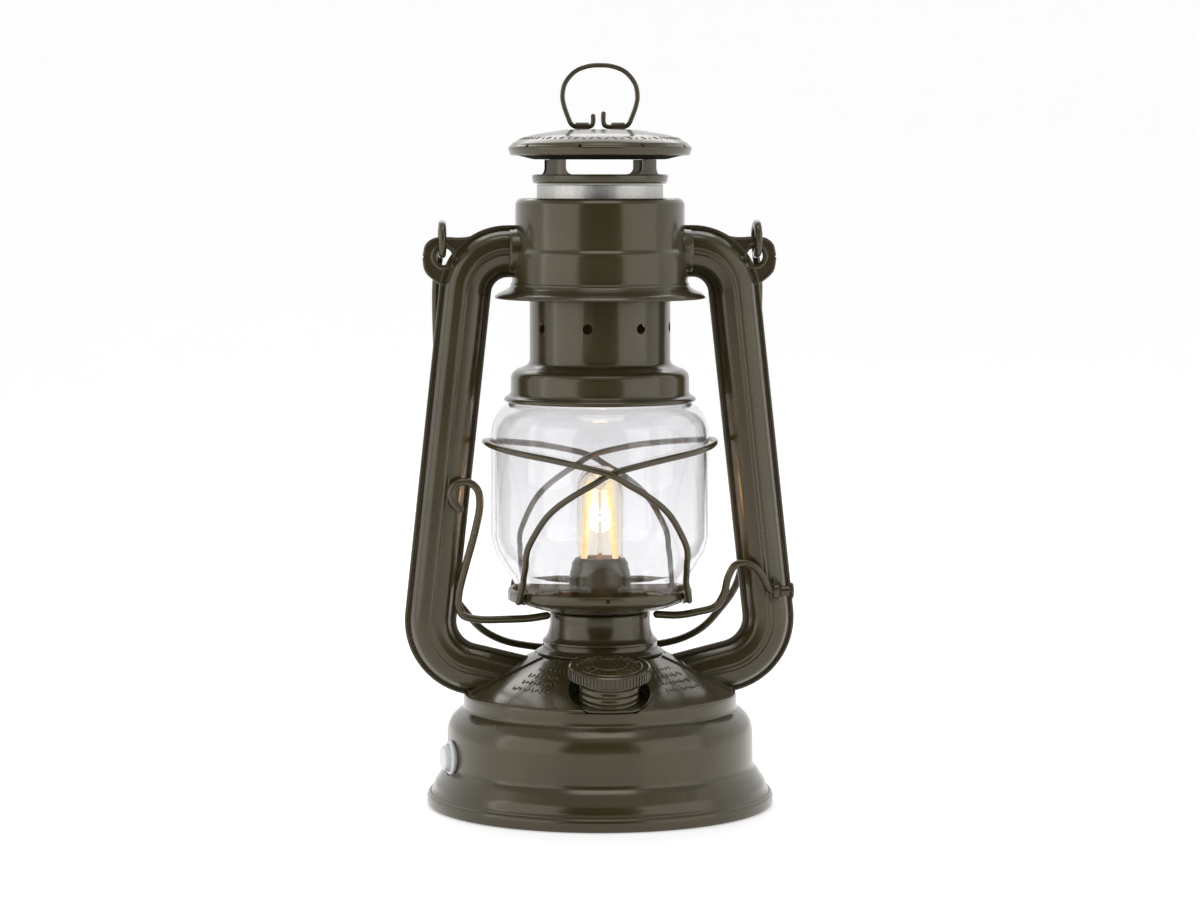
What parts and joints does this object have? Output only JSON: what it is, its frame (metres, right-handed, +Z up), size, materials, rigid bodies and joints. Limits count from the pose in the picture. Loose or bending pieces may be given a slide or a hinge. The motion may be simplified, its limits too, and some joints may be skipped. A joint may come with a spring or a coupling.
{
  "type": "barn lantern",
  "caption": "Hurricane-style barn lantern in painted steel with side tubes, lifting glass globe and hood, wire bail, filler cap and an electric filament lamp.",
  "frame": {"origin": "centre of the base's underside, on the surface that the lantern stands on", "axes": "+Z up along the lantern's axis, +X towards the side tube with the lift lever, +Y towards the rear, so the filler cap faces -Y"},
  "size_m": [0.1474, 0.1312, 0.2792],
  "materials": {
    "olive_paint": "glossy olive-brown enamel on pressed steel",
    "galvanised": "bare galvanised or plated steel",
    "clear_glass": "clear blown glass",
    "filament": "glowing warm filament",
    "lamp_metal": "satin lamp base",
    "switch_plastic": "light grey push switch",
    "black_plastic": "moulded black",
    "circuit_board": "solder mask",
    "seal_rubber": "matt rubber"
  },
  "bodies": {
    "frame": {"base_plate": "olive_paint", "fount_shell": "olive_paint", "filler_well": "olive_paint", "filler_neck": "olive_paint", "burner_collar": "olive_paint", "burner_neck": "olive_paint", "lamp_dome": "olive_paint", "lamp_holder": "lamp_metal", "lamp_bulb": "clear_glass", "filament_stem": "clear_glass", "filament_left": "filament", "filament_right": "filament", "lamp_lead": "black_plastic", "battery_cell_front": "galvanised", "battery_cell_rear": "galvanised", "battery_tray": "black_plastic", "base_screw_1": "galvanised", "base_screw_2": "galvanised", "base_screw_3": "galvanised", "driver_board": "circuit_board", "charge_port": "galvanised", "switch_bezel": "switch_plastic", "switch_body": "black_plastic", "right_tube_front": "olive_paint", "left_tube_front": "olive_paint", "right_tube_rear": "olive_paint", "left_tube_rear": "olive_paint", "right_tube_foot": "olive_paint", "left_tube_foot": "olive_paint", "right_tube_ferrule": "olive_paint", "left_tube_ferrule": "olive_paint", "canopy": "olive_paint", "lever_eyelet": "olive_paint"},
    "globe_carrier": {"globe_plate": "olive_paint", "glass_globe": "clear_glass", "guard_wire_a": "olive_paint", "guard_wire_b": "olive_paint", "guard_clip_left": "olive_paint", "guard_clip_right": "olive_paint", "guide_wire": "olive_paint"},
    "hood": {"chimney_tube": "olive_paint", "inner_flue": "galvanised", "crown": "olive_paint", "cap_underplate": "olive_paint", "hood_cap": "olive_paint", "ring_clip_left": "olive_paint", "ring_clip_right": "olive_paint"},
    "hood_ring": {"hood_ring": "olive_paint"},
    "lever": {"lift_lever": "olive_paint", "lever_tab": "olive_paint"},
    "bail": {"bail_wire": "olive_paint"},
    "cap_seal": {"cap_seal": "seal_rubber"},
    "filler_cap": {"filler_cap": "olive_paint"},
    "switch_button": {"switch_button": "switch_plastic"}
  },
  "joints": [
    {"name": "globe_lift", "type": "slide", "parent": "frame", "child": "globe_carrier", "axis": [0, 0, 1], "range_m": [0, 0.01]},
    {"name": "hood_lift", "type": "slide", "parent": "globe_carrier", "child": "hood", "axis": [0, 0, 1], "range_m": [0, 0.014]},
    {"name": "ring_swing", "type": "hinge", "parent": "hood", "child": "hood_ring", "pos_m": [0, 0, 0.2555], "axis": [1, 0, 0], "range_deg": [-88, 88]},
    {"name": "lever_turn", "type": "hinge", "parent": "frame", "child": "lever", "pos_m": [0.0656, -0.0097, 0.081], "axis": [0, 1, 0], "range_deg": [0, 12.7]},
    {"name": "bail_swing", "type": "hinge", "parent": "frame", "child": "bail", "pos_m": [0, 0, 0.2134], "axis": [1, 0, 0], "range_deg": [0, 250]},
    {"name": "cap_rise", "type": "slide", "parent": "frame", "child": "cap_seal", "axis": [0, -0.1908, 0.9816], "range_m": [0, 0.00376]},
    {"name": "cap_turn", "type": "hinge", "parent": "cap_seal", "child": "filler_cap", "pos_m": [0, -0.0385, 0.0447], "axis": [0, -0.1908, 0.9816], "range_deg": [0, 540]},
    {"name": "switch_push", "type": "slide", "parent": "frame", "child": "switch_button", "axis": [0.9781, 0.2079, 0], "range_m": [0, 0.0018], "stiffness_N_per_m": 900, "springref_m": -0.0005}
  ],
  "couplings": [
    {"joint": "lever_turn", "follows": "globe_lift", "rad_per_m": 22},
    {"joint": "cap_rise", "follows": "cap_turn", "m_per_rad": 0.00039789}
  ]
}
